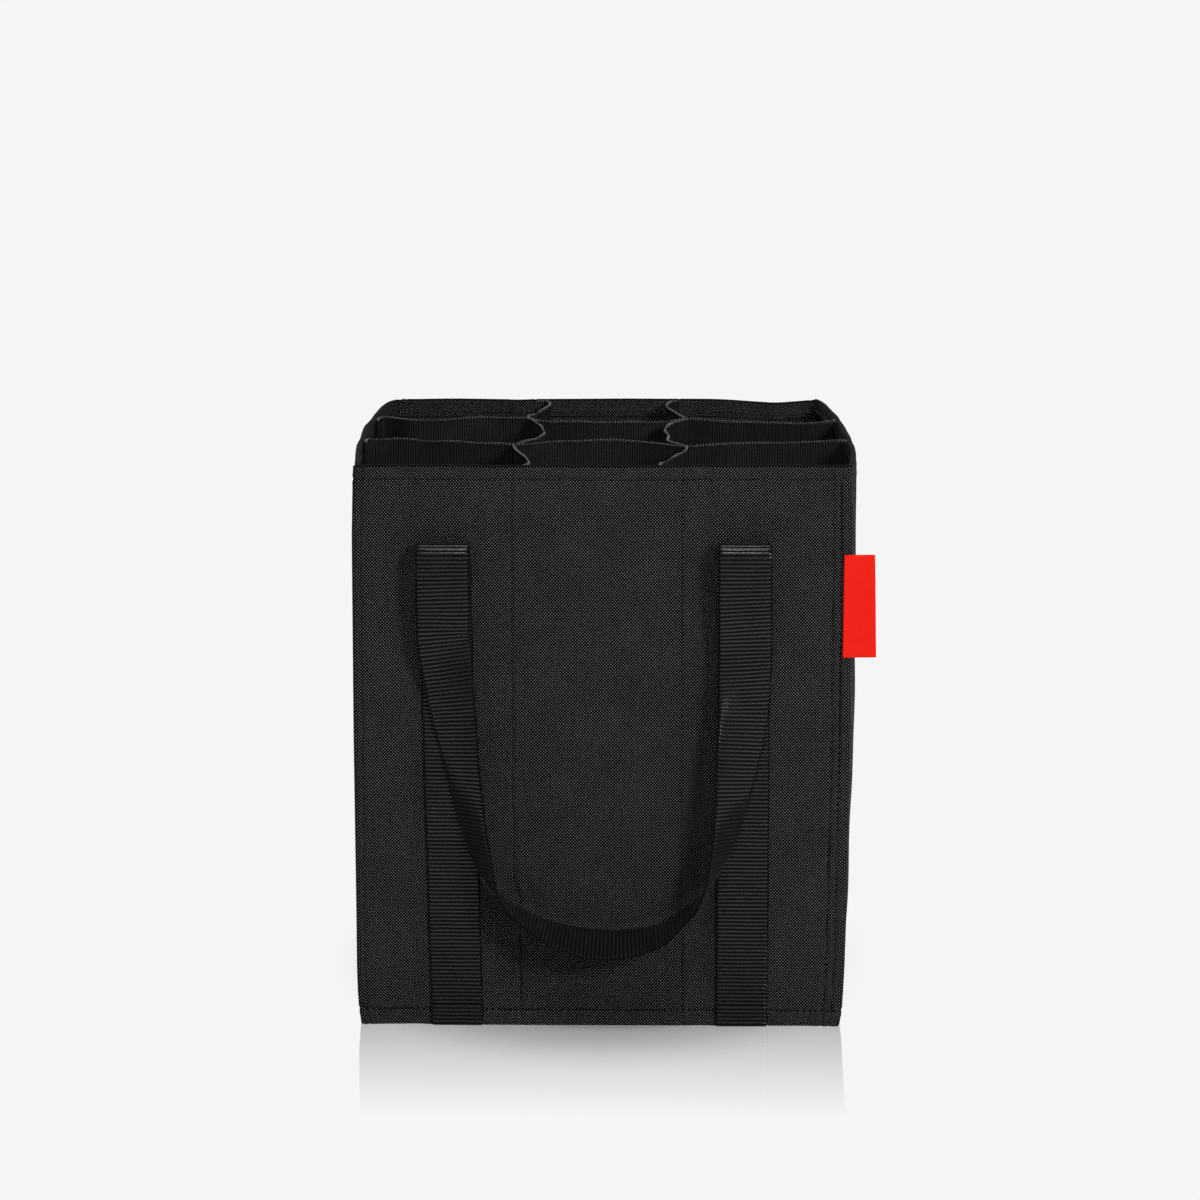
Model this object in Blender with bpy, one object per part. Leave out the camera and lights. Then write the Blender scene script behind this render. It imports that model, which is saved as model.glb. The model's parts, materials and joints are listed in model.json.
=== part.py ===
# Nine-compartment bottle bag in black woven polyester, with two handle loops of webbing.
# Metres, +Z up. The front faces -Y, and the origin is the middle of the base's underside.

import math

import bmesh
import bpy
from mathutils import Matrix, Vector

# The bag, measured outside its panels
bag_width = 0.240
bag_depth = 0.240
bag_height = 0.285

# Outer cloth
panel_thickness = 0.0016
panel_corner_radius = 0.003
left_bulge = 0.0068  # how far a side panel swells past its seams
right_bulge = 0.0075
left_fullness = 3  # exponent: 2 is a plain arch, more a fuller one that rolls over the seam
right_fullness = 6
side_foot_height = 0.060  # the swelling grows over this height

# Running and lying gap between pieces that touch
clearance = 0.0003

# Stiffening board on the base cloth
board_thickness = 0.002
board_corner_radius = 0.004

# Dividers
divider_thickness = 0.001
seam_offset = 0.0405  # the lengthwise dividers' seams, from the middle of the panels
cross_offset = 0.0405  # the cross dividers, from the middle of the bag
crossing_pull = 0.0045  # how far a crossing is drawn from its straight line
slack_at_rim = 0.007  # how far the loose cloth bows between two seams
slack_at_foot_share = 0.2  # of that, what is left at the base
outer_slack_share = 0.76  # in the outer rows the bow lies this far from crossing to panel

# Webbing
strap_width = 0.026
strap_thickness = 0.0015
strap_foot_spacing = 0.143  # middle to middle, where the straps go under the base
strap_lean = 0.0033  # the fold of one strap in each pair stands this much further out
fold_drop = 0.0365  # rim to the top of the fold
fold_radius = 0.0066  # outside of the turn that the webbing takes at the fold
fold_curl = math.radians(47)  # past the back of the turn, down to the sewn webbing
foot_height = 0.0115  # the base webbing is turned up this far and sewn
strap_soft_radius = 0.0003  # inside of the turn at the bag's lower edge

# Handle loop, drawn along the edge of the webbing that stays against the bag
loop_drop = 0.19145  # axis of the fold to the lowest point
lie_drop = 0.070  # the limbs come back against the sewn webbing over this drop
twist_peak = math.radians(98)  # the loop's most turned stretch
twist_at_bottom = math.radians(77)
twist_end_share = 0.914
left_twist_rate = 0.73  # exponent: under 1 turns early, over 1 late
right_twist_rate = 1.11
twist_softness = 0.03
droop_start_share = 0.90
lean_start_share = 0.5
bottom_lean_in = 0.0010  # the edge settles this much closer to the panel at the bottom

# Half the gap between the limbs and the drop, as shares: left limb, bottom, right limb
loop_shares = (
    (-1.000, 0.12),
    (-1.000, 0.24),
    (-0.960, 0.44),
    (-0.935, 0.63),
    (-0.875, 0.78),
    (-0.802, 0.880),
    (-0.644, 0.936),
    (-0.393, 0.972),
    (-0.104, 0.993),
    (0.176, 1.000),
    (0.452, 0.986),
    (0.702, 0.944),
    (0.869, 0.886),
    (0.948, 0.800),
    (0.987, 0.640),
    (1.000, 0.440),
    (1.000, 0.24),
    (1.000, 0.12),
)

# Side tab
label_width = 0.0148
label_height = 0.0508
label_thickness = 0.0008
label_foot = 0.1916  # base to the tab's lower edge
label_corner_radius = 0.0006

# Facets
corner_steps = 4
foot_steps = 4
rise_steps = 3
side_columns = 14
cross_columns = 32
long_columns = 12
slope_step_share = 0.01
fold_steps = 11
loop_steps = 4  # stations between two points of the loop

half_width = bag_width / 2
half_depth = bag_depth / 2
inner_half_width = half_width - panel_thickness
inner_half_depth = half_depth - panel_thickness
strap_room = strap_thickness + clearance  # the base cloth rises this much over a strap
shell_foot = strap_room
board_foot = strap_room + panel_thickness + clearance
board_top = board_foot + board_thickness
divider_foot = board_top + clearance

# The fold of a handle: its axis, the middle of the webbing and where the sewn length ends
fold_height = bag_height - fold_drop - fold_radius
fold_reach = half_depth + clearance + fold_radius
limb_offset = fold_radius - strap_thickness / 2
lie_offset = fold_radius - 1.5 * strap_thickness - clearance
turning_room = fold_radius + clearance
run_top = fold_height - math.sqrt(turning_room**2 - (fold_radius - strap_thickness) ** 2)
twist_start_share = (fold_drop + fold_radius + clearance) / loop_drop  # flat, to pass the rim
run_foot = foot_height + clearance


def clear_scene():
    for thing in list(bpy.data.objects):
        bpy.data.objects.remove(thing, do_unlink=True)


def make_material(name, colour, roughness, metallic=0.0):
    material = bpy.data.materials.new(name)
    material.use_nodes = True
    shader = material.node_tree.nodes["Principled BSDF"]
    shader.inputs["Base Color"].default_value = (*colour, 1.0)
    shader.inputs["Roughness"].default_value = roughness
    shader.inputs["Metallic"].default_value = metallic
    material.diffuse_color = (*colour, 1.0)
    return material


def make_empty(name, location):
    empty = bpy.data.objects.new(name, None)
    empty.location = location
    bpy.context.scene.collection.objects.link(empty)
    return empty


def make_solid(name, points, faces, material, parent=None, location=(0, 0, 0)):
    """One closed body, with its faces turned outwards."""
    mesh = bpy.data.meshes.new(name)
    mesh.from_pydata([tuple(p) for p in points], [], faces)
    form = bmesh.new()
    form.from_mesh(mesh)
    bmesh.ops.recalc_face_normals(form, faces=form.faces)
    form.to_mesh(mesh)
    form.free()
    mesh.materials.append(material)
    solid = bpy.data.objects.new(name, mesh)
    solid.location = location
    solid.parent = parent
    bpy.context.scene.collection.objects.link(solid)
    return solid


def extrude_outline(name, outline, depth, place, material, parent=None):
    """A flat outline given depth. place turns (u, v, w) into a point of the bag."""
    count = len(outline)
    points = [place(u, v, w) for w in (0, depth) for u, v in outline]
    sides = [(i, (i + 1) % count, count + (i + 1) % count, count + i) for i in range(count)]
    faces = [tuple(range(count)), tuple(range(2 * count - 1, count - 1, -1))] + sides
    return make_solid(name, points, faces, material, parent)


def make_sheet(name, surface, columns, levels, material, parent=None):
    """A closed sheet. surface(u, z, side) gives its points, with side -1 or 1 for its faces."""
    wide = columns + 1
    rows = len(levels) - 1
    per_side = wide * len(levels)
    points = [
        surface(column / columns, z, side)
        for side in (-1, 1)
        for z in levels
        for column in range(wide)
    ]
    faces = []
    for row in range(rows):
        for column in range(columns):
            a = row * wide + column
            quad = (a, a + 1, a + wide + 1, a + wide)
            faces.append(quad)
            faces.append(tuple(per_side + i for i in reversed(quad)))
    rim = list(range(wide))
    rim += [row * wide + columns for row in range(1, rows + 1)]
    rim += [rows * wide + column for column in range(columns - 1, -1, -1)]
    rim += [row * wide for row in range(rows - 1, 0, -1)]
    for i, a in enumerate(rim):
        b = rim[(i + 1) % len(rim)]
        faces.append((a, b, per_side + b, per_side + a))
    return make_solid(name, points, faces, material, parent)


def rounded_rectangle(left, right, low, high, radius):
    """Corners as arcs, counter-clockwise from the lower right one."""
    outline = []
    corners = ((right, low, -90), (right, high, 0), (left, high, 90), (left, low, 180))
    for x, z, start in corners:
        centre_x = x - math.copysign(radius, x - (left + right) / 2)
        centre_z = z - math.copysign(radius, z - (low + high) / 2)
        for step in range(corner_steps + 1):
            angle = math.radians(start + 90 * step / corner_steps)
            point = (centre_x + radius * math.cos(angle), centre_z + radius * math.sin(angle))
            outline.append(point)
    return outline


def ease(share):
    """A smooth 0 to 1."""
    share = min(max(share, 0.0), 1.0)
    return share * share * (3 - 2 * share)


def mix(start, end, share):
    return start + (end - start) * share


# Shell


def flat_panel(name, facing, material, parent):
    """The front (facing -1) or the back panel (facing 1), across the whole width."""
    outline = rounded_rectangle(
        -half_width, half_width, shell_foot, bag_height, panel_corner_radius
    )
    inner = facing * inner_half_depth

    def place(x, z, depth):
        return (x, inner + facing * depth, z)

    return extrude_outline(name, outline, panel_thickness, place, material, parent)


def bulge_at(side, y, z):
    """How far the left (side -1) or the right side panel stands outside its seams."""
    reach, fullness = (left_bulge, left_fullness) if side < 0 else (right_bulge, right_fullness)
    arch = 1 - abs(y / half_depth) ** fullness
    return reach * arch * ease((z - divider_foot) / side_foot_height)


def sheet_levels():
    """Heights of the points of the upright sheets, alike so that their edges run together."""
    foot = [
        divider_foot + side_foot_height * step / foot_steps for step in range(foot_steps + 1)
    ]
    return foot + [mix(foot[-1], bag_height, step / rise_steps) for step in range(1, rise_steps + 1)]


def side_panel(name, facing, material, parent):
    """The left (facing -1) or the right panel, between the front and back ones."""
    reach = inner_half_depth - clearance

    def surface(u, z, side):
        y = -reach * math.cos(math.pi * u)  # closer together towards the seams
        layer = 0 if side < 0 else panel_thickness
        return (facing * (half_width + bulge_at(facing, y, z) - layer), y, z)

    levels = [shell_foot] + sheet_levels()
    return make_sheet(name, surface, side_columns, levels, material, parent)


def base_outline():
    """The base cloth from the front: it lies on the floor and steps over the two straps."""
    edge = inner_half_width - clearance
    groove = strap_width / 2 + clearance
    slope = panel_thickness / 2
    low = []
    high = []
    for middle in (-strap_foot_spacing / 2, strap_foot_spacing / 2):
        low += [
            (middle - groove - slope, 0),
            (middle - groove, strap_room),
            (middle + groove, strap_room),
            (middle + groove + slope, 0),
        ]
        high += [
            (middle - groove - slope - panel_thickness, panel_thickness),
            (middle - groove - slope, strap_room + panel_thickness),
            (middle + groove + slope, strap_room + panel_thickness),
            (middle + groove + slope + panel_thickness, panel_thickness),
        ]
    bottom = [(-edge, 0)] + low + [(edge, 0)]
    top = [(edge, panel_thickness)] + high[::-1] + [(-edge, panel_thickness)]
    return bottom + top


def base_panel(material, parent):
    reach = inner_half_depth - clearance

    def place(x, z, depth):
        return (x, depth - reach, z)

    return extrude_outline("base_panel", base_outline(), 2 * reach, place, material, parent)


def base_board(material, parent):
    reach_x = inner_half_width - clearance
    reach_y = inner_half_depth - clearance
    outline = rounded_rectangle(-reach_x, reach_x, -reach_y, reach_y, board_corner_radius)

    def place(x, y, depth):
        return (x, y, board_foot + depth)

    return extrude_outline("base_board", outline, board_thickness, place, material, parent)


# Dividers


def looseness(z):
    """The dividers hang loose at the rim and are held near their base."""
    share = (z - divider_foot) / (bag_height - divider_foot)
    return mix(slack_at_foot_share, 1.0, share**1.5)


def cross_line(x, z):
    """Distance of a cross divider from the bag's middle: drawn out at the two crossings."""
    turns = min(abs(x) / seam_offset, 2.0)
    return cross_offset - crossing_pull * math.cos(math.pi * turns) * looseness(z)


def cross_divider(name, facing, material, parent):
    wall = inner_half_width - clearance

    def surface(u, z, side):
        left = wall + bulge_at(-1, cross_offset, z)
        right = wall + bulge_at(1, cross_offset, z)
        x = mix(-left, right, u)
        y = facing * (cross_line(x, z) + side * divider_thickness / 2)
        return (x, y, z)

    return make_sheet(name, surface, cross_columns, sheet_levels(), material, parent)


def long_divider(name, facing, row, material, parent):
    """One length between two cross dividers (row 0), or between one and a panel (-1, 1)."""

    def ends(z):
        cross = cross_line(seam_offset, z)
        beside = divider_thickness / 2 + clearance
        if row == 0:
            return beside - cross, cross - beside
        wall = inner_half_depth - clearance
        return (-wall, -cross - beside) if row < 0 else (cross + beside, wall)

    def bowed(u, z):
        # The same bow in each row, drawn out towards the panels in the outer ones
        share = u if row >= 0 else 1 - u
        if row:
            share = share ** (math.log(0.5) / math.log(outer_slack_share))
        return seam_offset - slack_at_rim * looseness(z) * math.sin(math.pi * share) ** 2

    def surface(u, z, side):
        start, end = ends(z)
        before, after = max(u - slope_step_share, 0), min(u + slope_step_share, 1)
        slope = (bowed(after, z) - bowed(before, z)) / ((after - before) * (end - start))
        normal = Vector((1, -slope, 0)).normalized() * side * divider_thickness / 2
        return (facing * (bowed(u, z) + normal.x), mix(start, end, u) + normal.y, z)

    return make_sheet(name, surface, long_columns, sheet_levels(), material, parent)


# Webbing


def strap_middle(side, z):
    """Middle of the strap on the left (side -1) or right of the front, which may lean."""
    foot = side * strap_foot_spacing / 2
    lean = -strap_lean if side < 0 else 0
    return foot + lean * (z - run_foot) / (fold_height - run_foot)


def sewn_strap(name, side, facing, material, parent):
    """Webbing sewn up a panel. facing -1 is the front, and 1 its copy turned to the back."""
    low = strap_middle(side, run_foot)
    high = strap_middle(side, run_top)
    half = strap_width / 2
    outline = [
        (low - half, run_foot),
        (low + half, run_foot),
        (high + half, run_top),
        (high - half, run_top),
    ]

    def place(x, z, depth):
        return (-facing * x, facing * (half_depth + clearance + depth), z)

    return extrude_outline(name, outline, strap_thickness, place, material, parent)


def base_strap(name, side, material, parent):
    """Webbing under the base, turned up at the front and the back edge of the bag."""
    inner = strap_soft_radius
    outer = strap_soft_radius + strap_thickness
    turn_y = half_depth + clearance - inner
    turn_z = strap_thickness + inner
    outside = [(turn_y + outer, foot_height)]
    inside = [(turn_y + inner, foot_height)]
    for step in range(corner_steps + 1):
        angle = math.radians(90 * step / corner_steps)
        reach, drop = math.cos(angle), math.sin(angle)
        outside.append((turn_y + outer * reach, turn_z - outer * drop))
        inside.append((turn_y + inner * reach, turn_z - inner * drop))
    outside += [(-y, z) for y, z in reversed(outside)]
    inside += [(-y, z) for y, z in reversed(inside)]
    left_edge = side * strap_foot_spacing / 2 - strap_width / 2

    def place(y, z, depth):
        return (left_edge + depth, y, z)

    return extrude_outline(name, outside + inside[::-1], strap_width, place, material, parent)


def loop_route():
    """The loop's inner edge: points (x, drop below the axis), smoothed through its shares."""
    left = strap_middle(-1, fold_height) + strap_width / 2
    right = strap_middle(1, fold_height) - strap_width / 2
    middle, half = (left + right) / 2, (right - left) / 2
    knots = [Vector((middle + half * x, loop_drop * drop)) for x, drop in loop_shares]
    knots = [Vector((left, 0))] + knots + [Vector((right, 0))]
    padded = [2 * knots[0] - knots[1]] + knots + [2 * knots[-1] - knots[-2]]
    route = []
    for a, b, c, d in zip(padded, padded[1:], padded[2:], padded[3:]):
        for step in range(loop_steps):
            t = step / loop_steps
            point = b * 2 + (c - a) * t + (a * 2 - b * 5 + c * 4 - d) * t * t
            route.append((point + (b * 3 - a - c * 3 + d) * t**3) / 2)
    return route + [knots[-1]]


def twist_at(drop, rate):
    """How far the webbing is turned out of the panel's plane at a drop below the fold."""
    share = drop / loop_drop
    t = (share - twist_start_share) / (twist_end_share - twist_start_share)
    t = min(max(t, 0.0), 1.0)
    turned = t**rate * t / (t + twist_softness) * (1 + twist_softness)
    droop = ease((share - droop_start_share) / (1 - droop_start_share))
    return twist_peak * turned - (twist_peak - twist_at_bottom) * droop


def fold_sections(x, outward):
    """The webbing round the turn, from its curled end to the top of a limb."""
    sections = []
    across = Vector((outward * strap_width, 0, 0))
    for step in range(fold_steps):
        angle = mix(-fold_curl, math.pi, step / fold_steps)
        radial = Vector((0, math.cos(angle), math.sin(angle)))
        edge = radial * limb_offset + Vector((x, 0, 0))
        normal = radial * strap_thickness / 2
        far = edge + across
        sections.append([edge + normal, far + normal, far - normal, edge - normal])
    return sections


def loop_sections():
    """The four corners of the webbing at each station, round its section."""
    route = loop_route()
    last = len(route) - 1
    lowest = max(range(len(route)), key=lambda i: route[i].y)
    edges = []
    for here in route:
        low_share = (here.y / loop_drop - lean_start_share) / (1 - lean_start_share)
        lie = mix(-limb_offset, lie_offset, ease(here.y / lie_drop))
        edges.append(Vector((here.x, lie + ease(low_share) * bottom_lean_in, -here.y)))
    sections = []
    for i, edge in enumerate(edges):
        before, after = max(i - 1, 0), min(i + 1, last)
        along = (route[after] - route[before]).normalized()
        tangent = (edges[after] - edges[before]).normalized()
        if i in (0, last):
            along = Vector((0, 1 if i == 0 else -1))
            tangent = Vector((0, 0, -along.y))
        # The route runs down the left limb and up the right one, so this points out of the loop.
        outward = Vector((-along.y, 0, -along.x))
        twist = twist_at(route[i].y, left_twist_rate if i < lowest else right_twist_rate)
        across = outward * math.cos(twist) + Vector((0, -math.sin(twist), 0))
        normal = across.cross(tangent).normalized() * strap_thickness / 2
        far = edge + across * strap_width
        sections.append([edge + normal, far + normal, far - normal, edge - normal])
    start = fold_sections(edges[0].x, -1)
    end = fold_sections(edges[-1].x, 1)
    return start + sections + end[::-1]


def handle_loop(name, facing, material, parent):
    """One length of webbing, from fold to fold, with its origin on the folds' axis."""
    turned = Matrix.Rotation(math.pi if facing > 0 else 0, 3, "Z")
    at_axis = (0, facing * fold_reach, fold_height)
    sections = loop_sections()
    points = [turned @ corner for section in sections for corner in section]
    faces = [(0, 1, 2, 3), tuple(range(len(points) - 1, len(points) - 5, -1))]
    for station in range(len(sections) - 1):
        for i in range(4):
            here, beside = 4 * station + i, 4 * station + (i + 1) % 4
            faces.append((here, beside, beside + 4, here + 4))
    return make_solid(name, points, faces, material, parent, at_axis)


def side_label(material, parent):
    """A folded tab that stands out of the front right seam."""
    outline = rounded_rectangle(
        half_width + clearance,
        half_width + clearance + label_width,
        label_foot,
        label_foot + label_height,
        label_corner_radius,
    )
    middle = half_depth - panel_thickness / 2

    def place(x, z, depth):
        return (x, -middle - label_thickness / 2 + depth, z)

    return extrude_outline("side_label", outline, label_thickness, place, material, parent)


def build():
    clear_scene()
    cloth = make_material("black_polyester", (0.016, 0.016, 0.017), 0.85)
    lining = make_material("black_ribbed_divider", (0.014, 0.014, 0.015), 0.80)
    webbing = make_material("black_webbing", (0.020, 0.020, 0.021), 0.62)
    board = make_material("grey_board", (0.060, 0.060, 0.062), 0.70)
    tab = make_material("red_tab", (0.760, 0.030, 0.012), 0.55)
    bag = make_empty("bag", (0, 0, 0))

    flat_panel("front_panel", -1, cloth, bag)
    flat_panel("back_panel", 1, cloth, bag)
    side_panel("left_side_panel", -1, cloth, bag)
    side_panel("right_side_panel", 1, cloth, bag)
    base_panel(cloth, bag)
    base_board(board, bag)

    cross_divider("front_cross_divider", -1, lining, bag)
    cross_divider("rear_cross_divider", 1, lining, bag)
    for side, facing in (("left", -1), ("right", 1)):
        for place, row in (("front", -1), ("middle", 0), ("rear", 1)):
            long_divider(f"{side}_{place}_divider", facing, row, lining, bag)
        base_strap(f"{side}_base_strap", facing, webbing, bag)
        sewn_strap(f"front_{side}_strap", facing, -1, webbing, bag)
        sewn_strap(f"back_{side}_strap", -facing, 1, webbing, bag)
    side_label(tab, bag)

    handle_loop("front_handle", -1, webbing, bag)
    handle_loop("back_handle", 1, webbing, bag)


build()
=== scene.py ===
# Bottle bag with nine compartments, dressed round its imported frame.
# Metres, +Z up. The front faces -Y and the side tab is on +X.
import json
import math

import bpy
import numpy as np
from mathutils import Matrix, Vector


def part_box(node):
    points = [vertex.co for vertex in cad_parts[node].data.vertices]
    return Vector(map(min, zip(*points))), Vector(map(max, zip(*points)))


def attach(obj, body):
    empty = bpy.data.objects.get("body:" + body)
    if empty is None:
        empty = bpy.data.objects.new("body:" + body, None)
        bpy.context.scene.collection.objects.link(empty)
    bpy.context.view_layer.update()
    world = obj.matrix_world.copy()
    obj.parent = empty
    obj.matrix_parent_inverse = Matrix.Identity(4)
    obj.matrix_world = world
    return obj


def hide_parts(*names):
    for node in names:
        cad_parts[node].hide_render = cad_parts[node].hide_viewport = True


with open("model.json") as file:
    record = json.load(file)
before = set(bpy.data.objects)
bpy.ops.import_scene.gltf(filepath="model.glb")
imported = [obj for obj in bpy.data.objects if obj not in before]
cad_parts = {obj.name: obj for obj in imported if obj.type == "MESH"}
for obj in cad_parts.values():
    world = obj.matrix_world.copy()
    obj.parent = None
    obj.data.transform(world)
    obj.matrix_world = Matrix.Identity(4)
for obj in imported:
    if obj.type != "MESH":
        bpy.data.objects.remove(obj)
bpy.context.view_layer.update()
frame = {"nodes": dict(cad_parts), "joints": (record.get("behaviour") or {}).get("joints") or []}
print("frame loaded:", len(frame["nodes"]), "nodes")


# Numbers and curves

def smooth(t):
    t = np.clip(t, 0.0, 1.0)
    return t * t * (3 - 2 * t)


def mix(start, end, share):
    return start + (end - start) * share


def unit(v):
    return v / np.maximum(np.linalg.norm(v, axis=-1, keepdims=True), 1e-12)


def arcLength(points):
    steps = np.linalg.norm(np.diff(points, axis=0), axis=1)
    return np.concatenate([[0.0], np.cumsum(steps)])


# Catmull-Rom through rows of keys; q counts keys, so 1.5 is half way from the second to the third
def spline(keys, q):
    keys = np.asarray(keys, float)
    padded = np.vstack([2 * keys[0] - keys[1], keys, 2 * keys[-1] - keys[-2]])
    span = np.clip(np.floor(q).astype(int), 0, len(keys) - 2)
    t = (q - span)[:, None]
    a, b, c, d = (padded[span + i] for i in range(4))
    return (2 * b + (c - a) * t + (2 * a - 5 * b + 4 * c - d) * t**2 + (3 * b - a - 3 * c + d) * t**3) / 2


# Parameters of a spline that step evenly along it
def evenSteps(keys, step):
    dense = np.linspace(0, len(keys) - 1, 60 * len(keys))
    length = arcLength(spline(keys, dense))
    count = max(2, round(length[-1] / step))
    return np.interp(np.linspace(0, length[-1], count + 1), length, dense)


# Soft unevenness of cloth, between about -1 and 1, the same in every run
def ripple(a, b, scale, seed):
    total = 0
    for i in range(5):
        turn = 2.4 * i + seed
        wave = (1 + 0.37 * i) * 2 * math.pi / scale
        total = total + np.sin(wave * (a * math.cos(turn) + b * math.sin(turn)) + 1.7 * seed + i * i)
    return total / 3.2


# Even steps from start to stop, with closer ones round each feature line
def spread(start, stop, step, features, fine):
    marks = [np.linspace(start, stop, max(2, round((stop - start) / step) + 1))]
    for place in features:
        marks.append(place + np.array(fine))
    marks = np.sort(np.concatenate(marks))
    marks = marks[(marks >= start) & (marks <= stop)]
    kept = [marks[0]]
    for mark in marks[1:]:
        if mark - kept[-1] > 0.00012:
            kept.append(mark)
    kept[-1] = stop
    return np.array(kept)


# Points, or directions, at places along a line
def sample(places, along, rows):
    return np.stack([np.interp(places, along, rows[:, i]) for i in range(3)], -1)


# Meshes

def addObject(name, data):
    made = bpy.data.objects.new(name, data)
    bpy.context.scene.collection.objects.link(made)
    return made


def gridFaces(rows, columns, wrapRows=False, wrapColumns=False):
    r = np.arange(rows if wrapRows else rows - 1)
    c = np.arange(columns if wrapColumns else columns - 1)
    r, c = np.meshgrid(r, c, indexing="ij")
    below, right = (r + 1) % rows, (c + 1) % columns
    corners = [r * columns + c, r * columns + right, below * columns + right, below * columns + c]
    return np.stack(corners, -1).reshape(-1, 4)


def gridNormals(grid, wrap=False):
    if wrap:
        across = np.roll(grid, -1, 1) - np.roll(grid, 1, 1)
    else:
        across = np.gradient(grid, axis=1)
    return unit(np.cross(across, np.gradient(grid, axis=0)))


# One closed mesh, faces outwards; weave gives each point its place on the flat cloth
def makeMesh(name, points, faces, material, weave=None):
    points = np.asarray(points, float).reshape(-1, 3)
    volume = 0.0
    for part in faces:
        corners = points[part]
        for i in range(1, part.shape[1] - 1):
            volume += np.einsum("ij,ij->", corners[:, 0], np.cross(corners[:, i], corners[:, i + 1]))
    turned = [part[:, ::-1] if volume < 0 else part for part in faces]
    mesh = bpy.data.meshes.new(name)
    mesh.from_pydata(points.tolist(), [], [face for part in turned for face in part.tolist()])
    mesh.shade_smooth()
    mesh.materials.append(material)
    if weave is not None:
        weave = np.asarray(weave, float).reshape(len(points), -1)
        place = np.zeros((len(points), 3), np.float32)
        place[:, : weave.shape[1]] = weave
        mesh.attributes.new("weave", "FLOAT_VECTOR", "POINT").data.foreach_set("vector", place.ravel())
    return addObject(name, mesh)


# A closed sheet from its two faces, each rows by columns of points, with soft edges
def makeSheet(name, outer, inner, weave, material, wrap=False, roundness=0.35):
    def softEdge(a, b, before):
        middle = (a + b) / 2
        return middle + unit(middle - before) * np.linalg.norm(a - b, axis=-1, keepdims=True) * roundness

    top = softEdge(outer[-1], inner[-1], (outer[-2] + inner[-2]) / 2)
    foot = softEdge(outer[0], inner[0], (outer[1] + inner[1]) / 2)
    ring = np.concatenate([outer, top[None], inner[::-1], foot[None]])
    places = np.concatenate([weave, weave[-1:], weave[::-1], weave[:1]])
    rows, columns = ring.shape[:2]
    faces = [gridFaces(rows, columns, True, wrap)]
    if not wrap:
        n = len(outer)
        k = np.arange(n - 1)
        for column, way in ((0, 1), (columns - 1, -1)):
            cap = np.stack([k, k + 1, 2 * n - k - 1, 2 * n - k], -1) * columns + column
            ends = np.array([[n - 1, n, n + 1], [2 * n, 2 * n + 1, 0]]) * columns + column
            faces += [cap[:, ::way], ends[:, ::way]]
    return makeMesh(name, ring, faces, material, places)


# Tubes along lines of points, all with the same number of points; frames lean on a given side vector
def makeTubes(name, lines, sides, radius, material, corners=5):
    lines = np.asarray(lines, float)
    along = unit(np.gradient(lines, axis=1))
    first = unit(np.cross(along, sides))
    second = np.cross(along, first)
    angles = np.linspace(0, 2 * math.pi, corners, endpoint=False)
    radius = np.broadcast_to(radius, lines.shape[:2])[..., None, None]
    ring = first[:, :, None] * np.cos(angles)[:, None] + second[:, :, None] * np.sin(angles)[:, None]
    points = lines[:, :, None] + ring * radius
    count, stations = lines.shape[:2]
    offsets = (np.arange(count) * stations * corners)[:, None, None]
    sheath = (gridFaces(stations, corners, False, True)[None] + offsets).reshape(-1, 4)
    start = np.arange(corners)[None, ::-1] + offsets[:, 0]
    end = np.arange(corners)[None] + (stations - 1) * corners + offsets[:, 0]
    faces = [sheath, start[:, ::-1], end[:, ::-1]]
    return makeMesh(name, points, faces, material)


def dress(piece, body, slot, *nodes):
    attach(piece, body)
    if nodes:
        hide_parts(*nodes)
    return piece


# Materials: a Wire is a socket that takes part in sums, a Finish is one material

class Wire:
    def __init__(self, finish, socket):
        self.finish, self.socket = finish, socket

    def sum(self, operation, *values):
        return self.finish.node("ShaderNodeMath", {"operation": operation}, values)

    def __add__(self, other):
        return self.sum("ADD", self, other)

    def __sub__(self, other):
        return self.sum("SUBTRACT", self, other)

    def __rsub__(self, other):
        return self.sum("SUBTRACT", other, self)

    def __mul__(self, other):
        return self.sum("MULTIPLY", self, other)

    def __pow__(self, other):
        return self.sum("POWER", self, other)

    def cosine(self):
        return self.sum("COSINE", self)

    def size(self):
        return self.sum("ABSOLUTE", self)

    def step(self, low, high):
        names = {"Value": self, "From Min": low, "From Max": high}
        return self.finish.node("ShaderNodeMapRange", {"interpolation_type": "SMOOTHSTEP"}, names)

    __radd__ = __add__
    __rmul__ = __mul__


class Nodes:
    def __init__(self, owner):
        owner.use_nodes = True
        self.tree = owner.node_tree

    # Settings first, then the inputs, by place or by name
    def node(self, kind, settings=(), inputs=(), output=0):
        made = self.tree.nodes.new(kind)
        for key, value in dict(settings).items():
            setattr(made, key, value)
        pairs = inputs.items() if isinstance(inputs, dict) else enumerate(inputs)
        for key, value in pairs:
            if isinstance(value, Wire):
                self.tree.links.new(value.socket, made.inputs[key])
            else:
                made.inputs[key].default_value = value
        return Wire(self, made.outputs[output])

    def blend(self, factor, low, high):
        values = {0: factor, 6: (*low, 1) if isinstance(low, tuple) else low, 7: (*high, 1)}
        return self.node("ShaderNodeMix", {"data_type": "RGBA"}, values, 2)


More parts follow.
